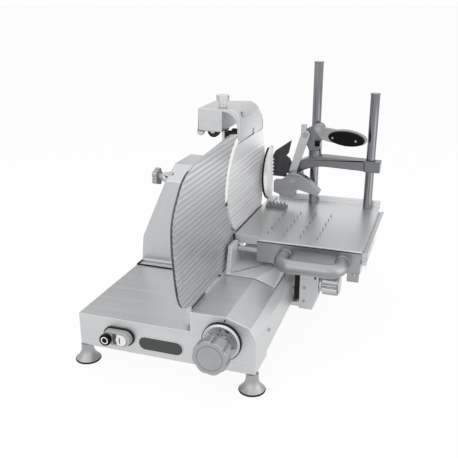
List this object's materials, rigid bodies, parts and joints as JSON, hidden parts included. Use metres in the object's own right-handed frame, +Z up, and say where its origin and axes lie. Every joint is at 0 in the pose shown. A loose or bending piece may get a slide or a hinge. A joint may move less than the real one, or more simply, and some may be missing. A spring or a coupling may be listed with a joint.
{
  "type": "electric food slicer",
  "caption": "Upright electric deli slicer: round vertical blade, ribbed gauge plate with thickness knob, sliding meat table with post clamp, motor column, sharpener, cast base on bell feet.",
  "frame": {"origin": "middle of the machine's outer box, on the floor under the feet", "axes": "+X to the operator's right, across the blade; +Y away from the operator, along the carriage stroke; +Z up"},
  "size_m": [0.6244, 0.697, 0.635],
  "materials": {
    "cast_aluminium": "satin polished casting",
    "stainless": "brushed",
    "bright_steel": "polished",
    "bronze": "turned",
    "black_plastic": "moulded",
    "white_plastic": "moulded",
    "grey_plastic": "moulded",
    "rubber": "matt",
    "abrasive": "grit",
    "motor_paint": "paint",
    "board": "board"
  },
  "bodies": {
    "base": {"base_housing": "cast_aluminium", "base_cover": "stainless", "foot_bells": "cast_aluminium", "foot_pads": "rubber", "motor_column": "cast_aluminium", "bearing_hub": "cast_aluminium", "blade_bearings": "bright_steel", "motor": "motor_paint", "drive_belt": "rubber", "blade_guard": "cast_aluminium", "blade_cover": "cast_aluminium", "gauge_bushes": "bronze", "switch_housing": "grey_plastic", "switch_block": "black_plastic", "control_board": "board", "cable_gland": "black_plastic", "carriage_rail": "bright_steel", "rail_brackets": "cast_aluminium", "sharpener": "cast_aluminium"},
    "blade_rotor": {"blade": "bright_steel", "blade_shaft": "stainless", "blade_pulley": "cast_aluminium"},
    "motor_rotor": {"motor_shaft": "stainless", "motor_pulley": "cast_aluminium"},
    "cover_tie": {"tie_rod": "stainless"},
    "gauge": {"gauge_plate": "cast_aluminium", "gauge_carrier": "cast_aluminium", "gauge_rods": "bright_steel", "gauge_follower": "stainless"},
    "thickness": {"thickness_knob": "cast_aluminium", "thickness_dial": "cast_aluminium", "scroll_cam": "stainless"},
    "stop": {"stop_button": "black_plastic"},
    "start": {"start_button": "white_plastic"},
    "carriage": {"carriage_arm": "cast_aluminium", "rail_bushes": "bronze", "carriage_block": "cast_aluminium", "carriage_saddle": "cast_aluminium"},
    "lock": {"lock_knob": "cast_aluminium"},
    "table": {"feed_rods": "bright_steel", "meat_table": "stainless", "table_apron": "stainless", "carriage_handle": "cast_aluminium", "side_rail": "cast_aluminium", "clamp_posts": "bright_steel", "table_comb": "stainless", "product_guard": "white_plastic", "guard_edging": "rubber"},
    "clamp": {"clamp_arm": "cast_aluminium", "clamp_collar": "black_plastic", "clamp_pins": "stainless"},
    "lever": {"clamp_lever": "stainless", "lever_grip": "black_plastic"},
    "press": {"press_arm": "stainless", "press_plate": "abrasive"},
    "shoe": {"press_shoe": "cast_aluminium"},
    "grinder": {"grinding_wheel": "abrasive"},
    "hone": {"deburring_wheel": "abrasive"},
    "sharpener_screw": {"sharpener_knob": "stainless"}
  },
  "joints": [
    {"name": "blade_spin", "type": "hinge", "parent": "base", "child": "blade_rotor", "pos_m": [-0.02975, 0.0955, 0.351], "axis": [1, 0, 0], "continuous": true},
    {"name": "motor_spin", "type": "hinge", "parent": "base", "child": "motor_rotor", "pos_m": [-0.10375, 0.1585, 0.208], "axis": [1, 0, 0], "continuous": true},
    {"name": "tie_rod_turn", "type": "hinge", "parent": "base", "child": "cover_tie", "pos_m": [-0.25375, 0.0955, 0.351], "axis": [1, 0, 0], "range_deg": [0, 270]},
    {"name": "thickness_turn", "type": "hinge", "parent": "base", "child": "thickness", "pos_m": [0.05125, -0.3065, 0.113], "axis": [0, -1, 0], "range_deg": [0, 300]},
    {"name": "gauge_slide", "type": "slide", "parent": "base", "child": "gauge", "axis": [-1, 0, 0], "range_m": [0, 0.015]},
    {"name": "stop_press", "type": "slide", "parent": "base", "child": "stop", "axis": [0, 1, 0], "range_m": [0, 0.003], "stiffness_N_per_m": 500},
    {"name": "start_press", "type": "slide", "parent": "base", "child": "start", "axis": [0, 1, 0], "range_m": [0, 0.003], "stiffness_N_per_m": 500},
    {"name": "carriage_slide", "type": "slide", "parent": "base", "child": "carriage", "axis": [0, -1, 0], "range_m": [0, 0.26]},
    {"name": "lock_turn", "type": "hinge", "parent": "carriage", "child": "lock", "pos_m": [0.21625, 0.0685, 0.125], "axis": [1, 0, 0], "range_deg": [0, 180]},
    {"name": "table_feed", "type": "slide", "parent": "carriage", "child": "table", "axis": [1, 0, 0], "range_m": [0, 0.13]},
    {"name": "clamp_slide", "type": "slide", "parent": "table", "child": "clamp", "axis": [0, 0, 1], "range_m": [-0.005, 0.15]},
    {"name": "lever_turn", "type": "hinge", "parent": "clamp", "child": "lever", "pos_m": [0.12725, 0.2935, 0.464], "axis": [0, -1, 0], "range_deg": [0, 60]},
    {"name": "press_turn", "type": "hinge", "parent": "clamp", "child": "press", "pos_m": [0.09125, 0.2935, 0.446], "axis": [0, -1, 0], "range_deg": [0, 8]},
    {"name": "shoe_tilt", "type": "hinge", "parent": "clamp", "child": "shoe", "pos_m": [0.06825, 0.2735, 0.326], "axis": [0, -1, 0], "range_deg": [-6, 6]},
    {"name": "grinder_spin", "type": "hinge", "parent": "base", "child": "grinder", "pos_m": [-0.04275, 0.0985, 0.473], "axis": [1, 0, 0], "continuous": true},
    {"name": "hone_spin", "type": "hinge", "parent": "base", "child": "hone", "pos_m": [-0.09025, 0.0785, 0.486], "axis": [0, 1, 0], "continuous": true},
    {"name": "sharpener_screw_turn", "type": "hinge", "parent": "base", "child": "sharpener_screw", "pos_m": [-0.07125, 0.0905, 0.563], "axis": [0, 0, 1], "range_deg": [0, 180]}
  ],
  "couplings": [
    {"joint": "motor_spin", "follows": "blade_spin", "ratio": 2.4},
    {"joint": "gauge_slide", "follows": "thickness_turn", "m_per_rad": 0.0028648},
    {"joint": "press_turn", "follows": "lever_turn", "ratio": 0.13333}
  ]
}
